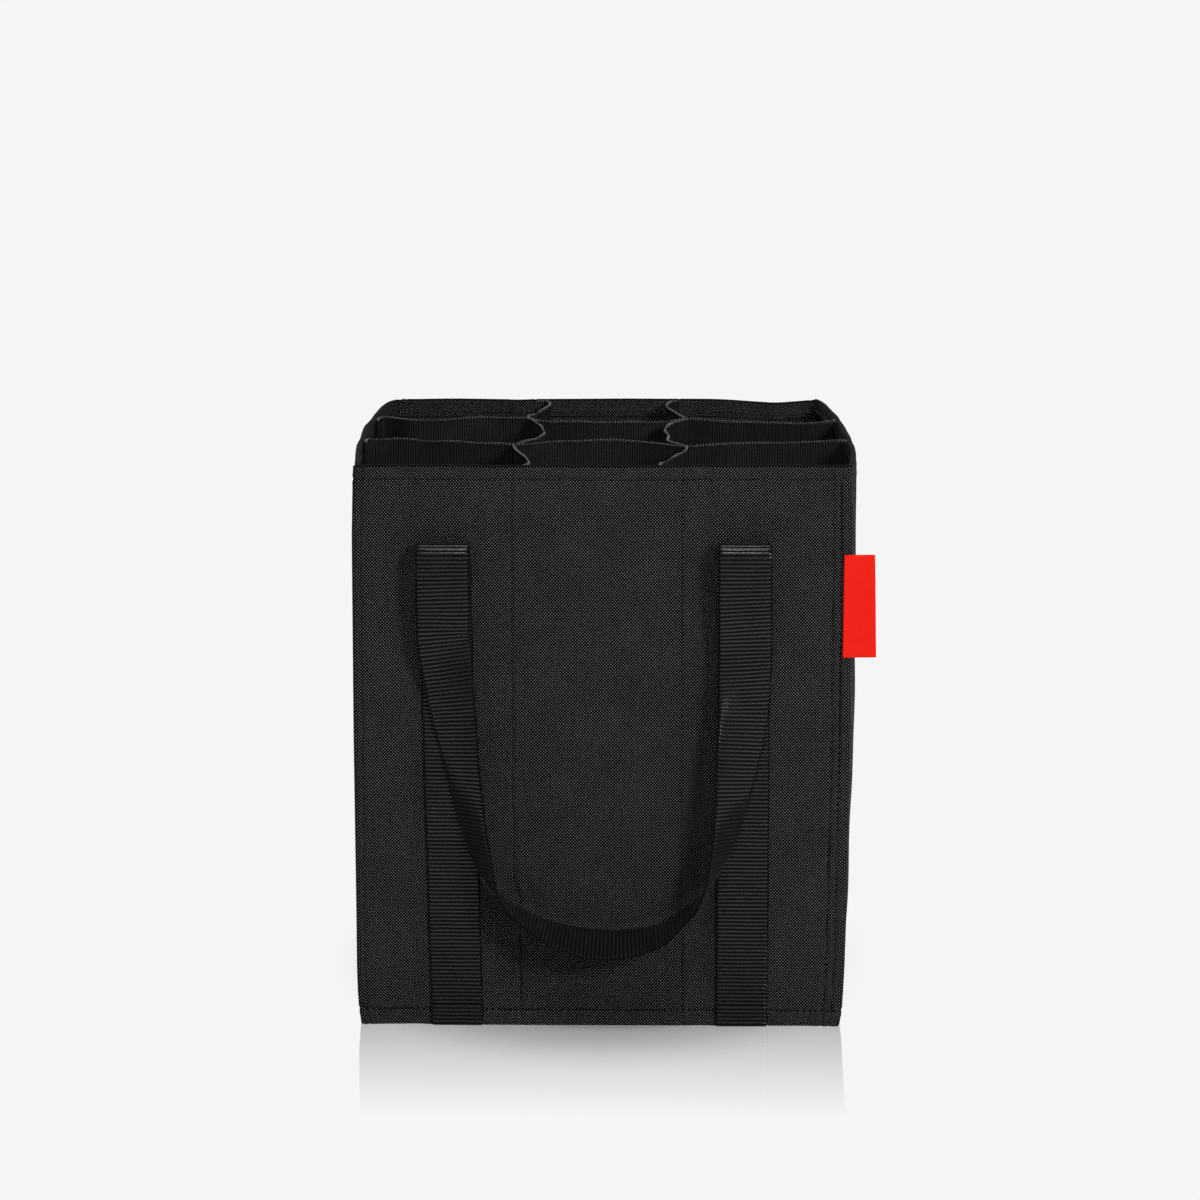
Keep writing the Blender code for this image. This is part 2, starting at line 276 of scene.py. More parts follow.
class Finish(Nodes):
    def __init__(self, name, **constants):
        self.material = bpy.data.materials.new(name)
        super().__init__(self.material)
        self.shader = self.tree.nodes["Principled BSDF"]
        for key, value in constants.items():
            self.shader.inputs[key.replace("_", " ")].default_value = value

    # Place on the flat cloth, across and along, in metres
    def weave(self):
        place = self.node("ShaderNodeAttribute", {"attribute_name": "weave"}, output="Vector")
        return place, *(self.node("ShaderNodeSeparateXYZ", (), [place], i) for i in range(2))

    def noise(self, place, scale, detail=2.0):
        values = {"Vector": place, "Scale": scale, "Detail": detail}
        return self.node("ShaderNodeTexNoise", (), values)

    def link(self, key, wire):
        self.tree.links.new(wire.socket, self.shader.inputs[key])

    def bump(self, height, distance, strength=1.0):
        values = {"Height": height, "Distance": distance, "Strength": strength}
        self.link("Normal", self.node("ShaderNodeBump", (), values))


def greys(level, tint=1.0):
    return (level, level, level * tint)


# Black woven cloth: light yarn crossings in a diamond pattern
clothLook = {"pitch": 0.0015, "slant": 0.92, "dark": 0.0003, "light": 0.168, "bump": 0.00022}


def clothFinish(name, look):
    finish = Finish(name, Specular_IOR_Level=0.04)
    place, u, v = finish.weave()
    v = v * look["slant"]
    wave = 2 * math.pi / look["pitch"]
    wander = finish.noise(place, 55) * 3.0
    one = ((u + v) * wave + wander).cosine()
    two = ((u - v) * wave + wander).cosine()
    dots = (one + two + 2) * 0.25
    crossing = dots.step(0.66, 1.0)
    drift = finish.noise(place, 38, 3.0)
    stretched = finish.node("ShaderNodeVectorMath", {"operation": "MULTIPLY"}, [place, (1400, 60, 1)])
    yarn = finish.noise(stretched, 1.0, 0.0)
    level = crossing * (drift * 0.5 + yarn * 0.5 + 0.45)
    finish.link("Base Color", finish.blend(level, greys(look["dark"]), greys(look["light"], 0.99)))
    finish.link("Roughness", 0.80 - crossing * 0.22)
    finish.bump(dots + drift * 0.4, look["bump"], 0.8)
    return finish.material


# Ribbed divider cloth: the ribs are in the mesh, the yarn across them is here, and the rib valleys are painted darker
# than the crests as painted shade
dividerLook = {"rib": 0.00135, "yarn": 0.0007, "dark": 0.0015, "light": 0.030}


def dividerFinish(name, look):
    finish = Finish(name, Specular_IOR_Level=0.05)
    place, u, v = finish.weave()
    rib = (u * (2 * math.pi / look["rib"])).cosine() * 0.5 + 0.5
    yarn = (v * (2 * math.pi / look["yarn"]) + u * 900).cosine() * 0.5 + 0.5
    drift = finish.noise(place, 45, 3.0)
    # painted shade: the colour is darkest in the valleys between the mesh's ribs
    level = (1 - rib) * (yarn * 0.45 + 0.4) * (drift + 0.4)
    finish.link("Base Color", finish.blend(level, greys(look["dark"]), greys(look["light"])))
    finish.link("Roughness", 0.86 - level * 0.2)
    finish.bump(yarn * 0.5 + drift * 0.3, 0.00012, 0.7)
    return finish.material


# Webbing: the cords are in the mesh; each shows its short yarns, turn about from cord to cord, and the gaps between
# cords are painted darker as painted shade
webbingLook = {
    "cord": 0.00198,
    "yarn": 0.00115,
    "dark": 0.0006,
    "light": 0.028,
    "rough": 0.48,
    "gloss": 0.19,  # roughness of the coat on the cords
    "sheen": (0.03, 0.30),
    "edge": 0.0118,  # the border, painted darker as painted shade and given no coat, starts this far from the middle
}


def webbingFinish(name, look):
    sheen, sheenRough = look["sheen"]
    finish = Finish(name, Specular_IOR_Level=0.02, Coat_Roughness=look["gloss"], Sheen_Weight=sheen,
                    Sheen_Roughness=sheenRough)
    place, u, v = finish.weave()
    crest = 1 - (v * (math.pi / look["cord"])).cosine().size()
    turn = (v * (math.pi / look["cord"]) + math.pi / 2).cosine()
    row = (u * (2 * math.pi / look["yarn"])).cosine()
    yarns = row * turn.step(-0.05, 0.05) * 2 - row
    drift = finish.noise(place, 70, 3.0)
    fleck = finish.noise(place, 1500, 0.0)
    # the band's border is painted darker as painted shade, and has no coat
    shadedBorder = u.size().step(look["edge"], look["edge"] + 0.0008)
    # painted shade: the colour is darker in the gaps between the cords
    level = (crest * 0.65 + 0.15) * (yarns * 0.2 + drift * 0.5 + fleck * 0.6 + 0.1) * (1 - shadedBorder * 0.6)
    finish.link("Base Color", finish.blend(level, greys(look["dark"]), greys(look["light"])))
    finish.link("Roughness", look["rough"] + 0.08 - crest * 0.08)
    finish.link("Coat Weight", crest.step(0.0, 0.9) * (0.2 + fleck * 0.6) * (1 - shadedBorder))
    finish.bump(yarns * 0.5 + fleck * 0.4, 0.0001, 1.0)
    return finish.material


def threadFinish(name, level, rough=0.6):
    finish = Finish(name, Specular_IOR_Level=0.1)
    place = finish.node("ShaderNodeTexCoord", output="Object")
    grain = finish.noise(place, 2600, 1.0)
    finish.link("Base Color", finish.blend(grain, greys(level * 0.55), greys(level * 1.45)))
    finish.link("Roughness", rough + grain * 0.2)
    return finish.material


# Overlocked edges: one thread, painted lighter along the rim as painted light and darker down the sides as painted
# shade
def edgeFinish(name, rim, shadedLevel, litLevel):
    finish = Finish(name, Specular_IOR_Level=0.1)
    place = finish.node("ShaderNodeTexCoord", output="Object")
    height = finish.node("ShaderNodeSeparateXYZ", (), [place], 2)
    # painted light on the thread's top at the rim, painted shade down its sides
    level = height.step(rim - 0.0007, rim + 0.0002) * (finish.noise(place, 1500, 1.0) * 1.2 + 0.3)
    finish.link("Base Color", finish.blend(level, greys(shadedLevel), greys(litLevel)))
    finish.link("Roughness", 0.7 + level * 0.1)
    return finish.material


def tabFinish(name):
    finish = Finish(name, Specular_IOR_Level=0.08)
    place, u, v = finish.weave()
    ribs = (v * (2 * math.pi / 0.00042)).cosine() * 0.5 + 0.5
    yarn = (u * (2 * math.pi / 0.0006) + v * 2600).cosine() * 0.5 + 0.5
    drift = finish.noise(place, 160, 3.0)
    level = ribs * 0.35 + yarn * 0.3 + drift * 0.35
    finish.link("Base Color", finish.blend(level, (0.56, 0.005, 0.002), (0.74, 0.011, 0.003)))
    finish.link("Roughness", 0.66 - ribs * 0.2)
    finish.bump(ribs * 0.6 + yarn * 0.4, 0.00009, 0.8)
    return finish.material


def boardFinish(name):
    finish = Finish(name, Specular_IOR_Level=0.3)
    place = finish.node("ShaderNodeTexCoord", output="Object")
    grain = finish.noise(place, 420, 4.0)
    cloud = finish.noise(place, 14, 3.0)
    finish.link("Base Color", finish.blend(grain * 0.6 + cloud * 0.4, greys(0.030), greys(0.085)))
    finish.link("Roughness", 0.62 + cloud * 0.25)
    finish.bump(grain, 0.0003, 0.5)
    return finish.material


cloth = clothFinish("blackWovenCloth", clothLook)
dividerCloth = dividerFinish("blackRibbedCloth", dividerLook)
webbing = webbingFinish("blackWebbing", webbingLook)
seamThread = threadFinish("blackThread", 0.0035)
strapThread = threadFinish("strapThread", 0.012)
edgeThread = edgeFinish("greyEdgeThread", 0.2842, 0.012, 0.13)
tabRibbon = tabFinish("redRibbon")
boardGrey = boardFinish("greyBoard")
print("materials made")


# Sizes that the frame gives
panelLow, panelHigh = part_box("front_panel")
halfWidth, halfDepth = panelHigh.x, -panelLow.y
rimHeight, clothThickness = panelHigh.z, panelHigh.y - panelLow.y
foldAxis = {joint["name"]: np.array(joint["pos_m"]) for joint in frame["joints"]}["front_handle_swing"]
wallX, wallY = halfWidth - clothThickness / 2, halfDepth - clothThickness / 2
clear = 0.0003
strapPlace = 0.0715  # each strap's middle, from the bag's middle


# Stitches: short lengths of thread that dip into the cloth at their ends
def makeStitches(name, lines, length=0.0026, gap=0.0006, radius=0.00019, material=seamThread):
    spots, normals = [], []
    shares = np.array([0.0, 0.14, 0.5, 0.86, 1.0])
    for points, outwards in lines:
        along = arcLength(points)
        starts = np.arange(gap, along[-1] - length, length + gap)
        places = starts[:, None] + shares * length
        spots.append(sample(places, along, points))
        normals.append(sample(places, along, outwards))
    spots, normals = np.concatenate(spots), unit(np.concatenate(normals))
    lift = np.array([-0.9, 0.45, 0.75, 0.45, -0.9])[:, None] * radius
    thick = np.array([0.5, 1.0, 1.1, 1.0, 0.5]) * radius
    return makeTubes(name, spots + normals * lift, normals, thick[None], material, 6)


# Outer cloth: one shell of four sides, lofted from the base to the rim
shellSettings = {
    "step": 0.0032,
    "rowStep": 0.0042,
    "cornerRadius": 0.0014,
    "foot": 0.0002,
    "hemLine": 0.0064,  # stitches, down from the rim
    "hemFold": 0.0095,  # the turned-in edge, down from the rim
    "hemThickness": 0.0008,
    "footLine": 0.0082,
    "grooveDepth": 0.00060,
    "grooveWidth": 0.00062,
    "puff": 0.00018,
    "tuckHeight": 0.150,
    # Swelling past the seams: place along the side, as the bag is walked round from the back left
    "left": [(-1, 0.0014), (-0.93, 0.0051), (-0.82, 0.0069), (-0.67, 0.0078), (-0.42, 0.0080), (-0.20, 0.0087),
             (0.02, 0.0077), (0.20, 0.0066), (0.34, 0.0067), (0.50, 0.0050), (0.67, 0.0026), (0.82, 0.0001),
             (0.90, -0.0008), (1, -0.0004)],
    "right": [(-1, 0.0034), (-0.975, 0.0038), (-0.92, 0.0047), (-0.82, 0.0062), (-0.65, 0.0081), (-0.50, 0.0089),
              (-0.23, 0.0092), (0.03, 0.0092), (0.22, 0.0086), (0.41, 0.0074), (0.61, 0.0058), (0.82, 0.0038),
              (0.93, 0.0020), (1, 0.0002)],
    # How far the bag stands out past its seams' straight line, with the height
    "leftProfile": [(0, 0.0004), (0.005, 0.0009), (0.015, 0.0018), (0.030, 0.0020), (0.060, 0.0017), (0.100, 0.0015),
                    (0.150, 0.0012), (0.200, 0.0006), (0.250, 0), (0.270, -0.0007), (0.285, -0.0014)],
    "rightProfile": [(0, 0.0008), (0.005, 0.0013), (0.015, 0.0017), (0.030, 0.0016), (0.060, 0.0011), (0.100, 0.0005),
                     (0.150, 0.0006), (0.200, 0.0005), (0.241, 0.0003), (0.270, -0.0002), (0.285, -0.0005)],
    # Stitched lines: topstitching beside the corners, and the dividers' seams
    "leftSeams": [-0.038, 0.038],
    "rightSeams": [-0.038, 0.038],
    "frontSeams": [-0.1155, -0.0420, 0.0410, 0.1106, 0.1146],
    "backSeams": [-0.1155, -0.0410, 0.0410, 0.1155],
    "seamPull": (0.0006, 0.011, 0.05),  # depth, width, and the height where it is full
    # the front's left divider seam shifts this far, at this height, over this run and this width
    "seamJog": (0.0034, 0.066, 0.012, 0.009),
    "wider": (0.0035, 0.06, 0.055),  # the front's right corner stands out, from this place on, over this run
    "rimDip": (0.0019, -0.093, 0.026),  # depth, place and width on the back
    "footLift": (0.0014, 0.0119, 0.0011, 0.012),  # rise over the webbing, half width, slope and height
    "straps": {"half": 0.0132, "lean": 0.0033, "dip": 0.0020, "dipWidth": 0.006, "dipReach": 0.014},
}


def tuck(height, s=shellSettings):
    return 1 - np.clip(1 - np.maximum(height, 0) / s["tuckHeight"], 0, 1) ** 2.2


def sideBulge(side, t, s=shellSettings):
    keys = np.array(s[side])
    q = np.linspace(0, len(keys) - 1, 400)
    curve = spline(keys, q)
    return np.interp(t, curve[:, 0], np.maximum(curve[:, 1], -0.0012))


# The dividers' seams draw the cloth in a little
def seamPull(away, height, s=shellSettings):
    depth, width, rise = s["seamPull"]
    return depth * np.exp(-(away / width) ** 2) * smooth(height / rise)


# Stretch of the bag's width, at a side and height
def stand(x, height, s=shellSettings):
    reach = [np.interp(height, *np.array(s[name]).T) for name in ("leftProfile", "rightProfile")]
    return x * (1 + np.where(x < 0, *reach) / wallX)


def makeShell(s):
    fine = [d * s["grooveWidth"] for d in (-3.4, -2, -1.2, -0.6, 0, 0.6, 1.2, 2, 3.4)]
    hemLine, hemFold = rimHeight - s["hemLine"], rimHeight - s["hemFold"]
    rows = [s["footLine"], hemLine, hemFold, rimHeight - 0.0008, 0.0012]
    heights = spread(s["foot"], rimHeight, s["rowStep"], rows, fine)
    sides = (("left", (0, -1), (-1, 0), wallY, wallX), ("front", (1, 0), (0, -1), wallX, wallY),
             ("right", (0, 1), (1, 0), wallY, wallX), ("back", (-1, 0), (0, 1), wallX, wallY))
    columns = []
    radius = s["cornerRadius"]
    for name, along, out, reach, away in sides:
        along, out, flat = np.array(along), np.array(out), reach - radius
        features = s[name + "Seams"] + [-flat + 0.0008, flat - 0.0008]
        if name in ("front", "back"):
            features += [sign * (strapPlace + edge * s["straps"]["half"]) for sign in (-1, 1) for edge in (-1, 1)]
        marks = spread(-flat, flat, s["step"], features, fine)
        for t in marks:
            columns.append((name, t, along * t + out * away, out))
        for turn in (0.2, 0.4, 0.6, 0.8):
            angle = turn * math.pi / 2
            heading = out * math.cos(angle) + along * math.sin(angle)
            centre = along * flat + out * (away - radius)
            columns.append((name + "Corner", flat, centre + heading * radius, heading))
    names, t, plan, out = (np.array(part) for part in zip(*columns))
    around = arcLength(plan)
    h, sAround = np.meshgrid(heights, around, indexing="ij")
    swell = np.zeros_like(h)
    for name in ("left", "right"):
        chosen = names == name
        swell[:, chosen] = sideBulge(name, t[chosen] / wallY)[None] * tuck(h[:, chosen])
        edge = smooth((1 - np.abs(t[chosen]) / wallY) * 6)
        swell[:, chosen] += edge * 0.0005 * ripple(h[:, chosen], sAround[:, chosen], 0.13, 1.3 + len(name))
        for seam in s[name + "Seams"]:
            swell[:, chosen] -= seamPull(t[chosen][None] - seam, h[:, chosen])
    for name in ("front", "back"):
        chosen = names == name
        edge = smooth((1 - np.abs(t[chosen]) / wallX) * 8)
        swell[:, chosen] = edge * 0.00035 * (ripple(h[:, chosen], sAround[:, chosen], 0.16, 0.7 + len(name)) - 1)
        # the cloth dips beside each strap
        strap = s["straps"]
        for middle in (-strapPlace, strapPlace):
            edgeAt = middle - strap["half"] - (strap["lean"] * h[:, chosen] / rimHeight if middle < 0 else 0)
            gap = edgeAt - t[chosen][None]
            shape = smooth(gap / strap["dipWidth"]) * (1 - smooth((gap - strap["dipWidth"]) / strap["dipReach"]))
            swell[:, chosen] -= strap["dip"] * shape * mix(0.3, 1, smooth(h[:, chosen] / 0.03))
    points = np.zeros((*h.shape, 3))
    points[..., :2] = plan[None] + out[None] * swell[..., None]
    points[..., 0] = stand(points[..., 0], h)
    onFront = (names == "front") | (names == "frontCorner")
    wide, start, run = s["wider"]
    wider, toCorner = wide * tuck(h), np.where(onFront, smooth((plan[:, 0] - start) / run), 0)
    points[..., 0] += wider * toCorner
    eased = wider * np.where(names == "right", 0.5 - t / wallY / 2, toCorner)
    points[..., 2] = h
    # the rim sags a little between its corners, and the foot lifts over the webbing
    share = (h / rimHeight) ** 6
    onBack = names == "back"
    dip, dipPlace, dipWidth = s["rimDip"]
    sag = np.where(onBack, dip * np.exp(-((t - dipPlace) / dipWidth) ** 2) - 0.0001, 0.0002)
    points[..., 2] -= share * (sag[None] + 0.00022 * (1 + ripple(sAround, 0 * h, 0.11, 2.0)))
    rise, overStrap, slope, liftHeight = s["footLift"]
    over = 1 - smooth((np.abs(np.abs(t) - strapPlace) - overStrap) / slope)
    lift = np.where((names == "front") | onBack, over, 0)
    points[..., 2] += rise * lift[None] * (1 - smooth(h / liftHeight))
    # one divider seam on the front changes its place near the base
    jog, jogHeight, jogSoft, jogWidth = s["seamJog"]
    near = np.where(names == "front", np.exp(-((t - s["frontSeams"][1]) / jogWidth) ** 2), 0)
    shifted = near[None] * jog * (1 - smooth((h - jogHeight) / jogSoft))
    points[..., 0] += shifted
    normals = gridNormals(points, True)
    groove = np.zeros_like(h)
    seams = [np.where(names == name, np.abs(t - seam), 1) for name, *_ in sides for seam in s[name + "Seams"]]
    level = [np.abs(h - s["footLine"]), np.abs(h - hemLine)]
    for i, line in enumerate(level + [away[None] + 0 * h for away in seams]):
        groove += s["puff"] * np.exp(-((line / s["grooveWidth"] - 3.2) / 2) ** 2)
        groove -= (0.6 if i < 2 else 1) * s["grooveDepth"] * np.exp(-((line / s["grooveWidth"]) ** 2))
    hem = smooth((h - hemFold) / 0.0006) * s["hemThickness"]
    outer = points + normals * (clothThickness / 2 + groove)[..., None]
    inner = points - normals * (clothThickness / 2 + hem - 0.3 * groove)[..., None]
    weave = np.stack([sAround + shifted + eased, h], -1)
    piece = makeSheet("outerCloth", outer, inner, weave, cloth, wrap=True)
    dress(piece, "bag", "cloth", "front_panel", "back_panel", "left_side_panel", "right_side_panel")
    # stitches, on the rows and columns of points that lie nearest to the lines
    low, high = (int(np.argmin(np.abs(heights - value))) for value in (s["footLine"], hemLine))
    lying = [(outer[low], normals[low]), (outer[high], normals[high]), (inner[high], -normals[high])]
    inside = slice(low + 1, high)
    upright = [(outer[inside, column], normals[inside, column]) for column in map(np.argmin, seams)]
    dress(makeStitches("hemStitches", lying), "bag", "cloth")
    dress(makeStitches("seamStitches", upright), "bag", "cloth")
    return piece


shell = makeShell(shellSettings)
print("outer cloth made:", len(shell.data.polygons), "faces")


# Base cloth, lifted over the webbing, and its board
baseSettings = {"channel": 0.0136, "slope": 0.0030, "step": 0.004, "lap": 0.0012}  # lap: into the side seams


def makeBase(s):
    low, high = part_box("base_panel")
    edges = [sign * strapPlace + edge * s["channel"] for sign in (-1, 1) for edge in (-1, 1)]
    fine = [0, 0.0008, -0.0008, 0.0016, -0.0016, 0.003, -0.003]
    x = spread(low.x - s["lap"], high.x + s["lap"], s["step"], edges, fine)
    y = np.linspace(low.y, high.y, 60)
    xs, ys = np.meshgrid(x, y)
    away = np.abs(np.abs(xs) - strapPlace) - s["channel"]
    rise = (1 - smooth(away / s["slope"])) * (high.z - low.z - clothThickness)
    under = np.stack([xs, ys, low.z + rise], -1)
    over = under + np.array([0, 0, clothThickness])
    piece = makeSheet("baseCloth", over, under, np.stack([xs, ys], -1), cloth)
    return dress(piece, "bag", "cloth", "base_panel")


baseCloth = makeBase(baseSettings)
board = frame["nodes"]["base_board"]
board.data.materials.clear()
board.data.materials.append(boardGrey)
print("base made")


# Dividers: sheets with upright ribs, slack at the rim and nearly straight at the base
dividerSettings = {
    "thickness": 0.0006,
    "rib": 0.00135,
    "ribDepth": 0.00020,
    "samples": 4,
    "foot": 0.0062,
    "top": 0.2842,
    "slackAtFoot": 0.15,
    "ending": (0.080, 0.036),  # a cross divider's ends follow the side panels from here on, over this run
    "baseLine": 40.5,  # from the bag's middle, in millimetres
    "gap": 0.85,  # from a crossing, or a panel, to the end of a length, in millimetres
    "edgePitch": 0.00165,
    "edgeDepth": 0.0017,
    "edgeRadius": 0.00014,
}

# Places of the rim edges in plan, in millimetres; crossings are shared by name
crossings = {"FL": (-44.5, -45.0), "FR": (43.8, -50.0), "RL": (-41.2, 49.8), "RR": (44.2, 45.6)}
crossLines = {
    "front": [("L", -38), ("L", -31), (-121.6, -26.2), (-116, -25), (-103, -25.6), (-85, -31), (-68, -37), (-55, -41.5),
              "FL", (-36, -40), (-29, -35.6), (-12, -31.6), (5, -31.4), (20, -34.6), (32, -42.5), "FR", (55, -47.6),
              (75, -41), (97, -37), (113, -34.2), (120, -33.4), ("R", -35), ("R", -39)],
    "rear": [("L", 41), ("L", 50), (-121.8, 55.6), (-117, 53.8), (-105, 43.6), (-90, 45), (-66, 53.4), (-52, 53), "RL",
             (-33, 40.5), (-15, 36), (5, 34.4), (22, 35.4), (34, 40.6), "RR", (56, 42), (75, 35.4), (102, 31),
             (113, 32), (119, 35), ("R", 38.4), ("R", 42)],
}
longLines = {
    ("left", "front"): ["FL", (-43.4, -56), (-40.2, -72), (-36.5, -85.5), (-34, -102), (-34.8, -111), (-36.4, -115.6),
                        (-38.6, -117.5), (-42, -117.6)],
    ("left", "middle"): ["RL", (-37.8, 40), (-34, 25), (-30.6, -3), (-33.8, -22), (-39.4, -35), "FL"],
    ("left", "rear"): ["RL", (-42, 58), (-38, 72), (-32.5, 100), (-32.2, 111), (-33.6, 115.8), (-36.6, 117.5),
                       (-41, 117.6)],
    ("right", "front"): ["FR", (43.2, -60), (41.4, -69), (36.4, -86), (30.8, -104), (30.2, -112), (31.6, -116.2),
                         (34.8, -117.5), (40.6, -117.6)],
    ("right", "middle"): ["RR", (36.8, 33), (32.5, 9), (34.6, -13), (34, -30), (37.6, -39), "FR"],
    ("right", "rear"): ["RR", (43.6, 53), (41.2, 61), (35.9, 85), (33.7, 101), (34.6, 111), (36.2, 115.8), (38, 117.5),
                        (41.4, 117.6)],
}


# Inner face of a side panel at a place along the bag's depth
def innerSide(side, y, height):
    turned = -y if side < 0 else y
    bulge = sideBulge("left" if side < 0 else "right", turned / wallY) * tuck(height)
    pulled = seamPull(np.abs(y) - shellSettings["rightSeams"][1], height)
    return stand(side * (halfWidth - clothThickness + bulge - pulled), height)


def makeDivider(name, node, keys, baseKeys, sideways, s):
    mm = 0.001
    q = evenSteps(np.array(keys) * mm, s["rib"] / s["samples"])
    rim, base = spline(np.array(keys) * mm, q), spline(np.array(baseKeys) * mm, q)
    along = arcLength(rim)
    foot, top = s["foot"], s["top"]
    heights = np.concatenate([np.linspace(foot, top - 0.012, 22), top - np.array([0.008, 0.0045, 0.002, 0.0006, 0])])
    h = heights[:, None] + 0 * along[None]
    share = (h - foot) / (top - foot)
    loose = mix(s["slackAtFoot"], 1, share**1.5)
    points = np.zeros((*h.shape, 3))
    for axis in (0, 1):
        points[..., axis] = mix(base[None, :, axis], rim[None, :, axis], loose)
    if sideways:
        start, run = s["ending"]
        for side in (-1, 1):
            ending = smooth((side * rim[:, 0] - start) / run)
            reach = innerSide(side, points[..., 1], h) - side * (clear + s["thickness"] / 2 + s["ribDepth"])
            scaled = rim[None, :, 0] * reach / innerSide(side, points[..., 1], rimHeight)
            points[..., 0] = mix(points[..., 0], scaled, ending[None])
            limit = np.abs(reach)
            points[..., 0] = np.clip(points[..., 0], -limit if side < 0 else -1, limit if side > 0 else 1)
    points[..., 2] = h
    wave = 0.0006 * ripple(along, 0 * along, 0.05, 0.4 + len(name)) * share * smooth((top - h) / 0.0001 + 1)
    points[..., 2] += wave * share**4
    normals = gridNormals(points)
    beat = np.abs(np.sin(math.pi * along / s["rib"]))[None] ** 0.8 * s["ribDepth"]
    half = s["thickness"] / 2 - s["ribDepth"] / 2
    outer = points + normals * (half + beat)[..., None]
    inner = points - normals * (half + beat)[..., None]
    weave = np.stack([along[None] + 0 * h, h], -1)
    piece = makeSheet(name, outer, inner, weave, dividerCloth)
    # overlocked edge: one thread that winds round the top
    wraps = int((along[-1] - 0.002) / s["edgePitch"])
    turn, aside, down = np.array([(0.0, 1, -1), (0.15, 1, -0.5), (0.28, 1, -0.06), (0.38, 0, 0.09), (0.48, -1, -0.06),
                                  (0.62, -1, -0.5), (0.75, -1, -1), (0.87, 0, -1.12)]).T
    where = (0.001 + (np.arange(wraps)[:, None] + turn) * s["edgePitch"]).ravel()
    aside = np.tile(aside, wraps)[:, None] * (half + s["ribDepth"] + s["edgeRadius"] * 0.5)
    down = np.tile(down, wraps)[:, None] * s["edgeDepth"]
    edge, normal = sample(where, along, points[-1]), unit(sample(where, along, normals[-1]))
    line = edge + normal * aside + np.array([0, 0, 1]) * down + np.array([0, 0, s["edgeRadius"]])
    forward = unit(np.gradient(edge, axis=0))
    thread = makeTubes(name + "Edge", line[None], forward[None], s["edgeRadius"], edgeThread)
    dress(piece, "bag", "divider", node)
    dress(thread, "bag", "divider")
    # the length of the rim's line; the cut is 4 mm longer, for its sewn ends
    length = arcLength(points[-1])[-1]
    return length


def crossDivider(place, side, s):
    keys, baseKeys = [], []
    wall = (halfWidth - clothThickness) * 1000
    names = {"front": ("FL", "FR"), "rear": ("RL", "RR")}[place]
    marks = [-wall - 7, crossings[names[0]][0], crossings[names[1]][0], wall + 7]
    for key in crossLines[place]:
        if isinstance(key, str):
            x, y = crossings[key]
        elif isinstance(key[0], str):
            y = key[1]
            end = -1 if key[0] == "L" else 1
            x = innerSide(end, y / 1000, rimHeight) * 1000 - end * 1.1
        else:
            x, y = key
        keys.append((x, y))
        straight = np.interp(x, marks, [-wall - 0.4, -s["baseLine"], s["baseLine"], wall + 0.4])
        baseKeys.append((np.clip(straight, -wall + 1, wall - 1), side * s["baseLine"]))
    # at the foot, the last two keys of each end turn along the side panel
    for key, sign, i in ((0, -1, 0), (1, -1, 1), (-1, 1, 0), (-2, 1, 1)):
        baseKeys[key] = (sign * (wall - 0.9 - 0.02 * i), side * (s["baseLine"] - 4 + 2 * i))
    return makeDivider(place + "CrossDivider", place + "_cross_divider", keys, baseKeys, True, s)


def longDivider(side, place, s):
    keys, baseKeys = [], []
    line = longLines[side, place]
    sign = -1 if side == "left" else 1
    wall = (halfDepth - clothThickness) * 1000
    for i, key in enumerate(line):
        x, y = crossings[key] if isinstance(key, str) else key
        inward = -1 if place == "middle" else 1
        baseX = sign * s["baseLine"]
        if isinstance(key, str):
            baseY = math.copysign(s["baseLine"] + inward * s["gap"], y)
            y += math.copysign(s["gap"], y) * inward
        else:
            start = crossings[line[0]][1]
            baseY = np.interp(abs(y), [0, abs(start), wall], [0, s["baseLine"], wall]) * math.copysign(1, y)
            turn = i - (len(line) - 3)
            if place != "middle" and turn >= 0:  # the last three keys turn along the panel
                baseX += sign * turn * 2.2 - sign * 1
                baseY = math.copysign(min(abs(baseY), wall - s["gap"]), y)
        keys.append((x, y))
        baseKeys.append((baseX, baseY))
    name = side + place.capitalize() + "Divider"
    return makeDivider(name, f"{side}_{place}_divider", keys, baseKeys, False, s)


flatLengths = [crossDivider(place, side, dividerSettings) for place, side in (("front", -1), ("rear", 1))]
flatLengths += [longDivider(side, place, dividerSettings) for side, place in longLines]
print("dividers made, lengths in mm:", [round(length * 1000) for length in flatLengths])


# Webbing: a band of round cords that run across it
webbingSettings = {
    "width": 0.026,
    "thickness": 0.0015,
    "cordDepth": 0.34,  # share of the half thickness between two cords
    "samples": 6,
    "taper": 0.0006,  # length over which each end closes
    "profile": [(-0.985, 0.45), (-0.94, 0.86), (-0.82, 1), (-0.5, 1), (-0.17, 1), (0.17, 1), (0.5, 1), (0.82, 1),
                (0.94, 0.86), (0.985, 0.45)],
}


def resample(path, arrays, step):
    along = arcLength(path)
    count = max(2, round(along[-1] / step))
    marks = np.linspace(0, along[-1], count + 1)
    return marks, [sample(marks, along, array) for array in (path, *arrays)]


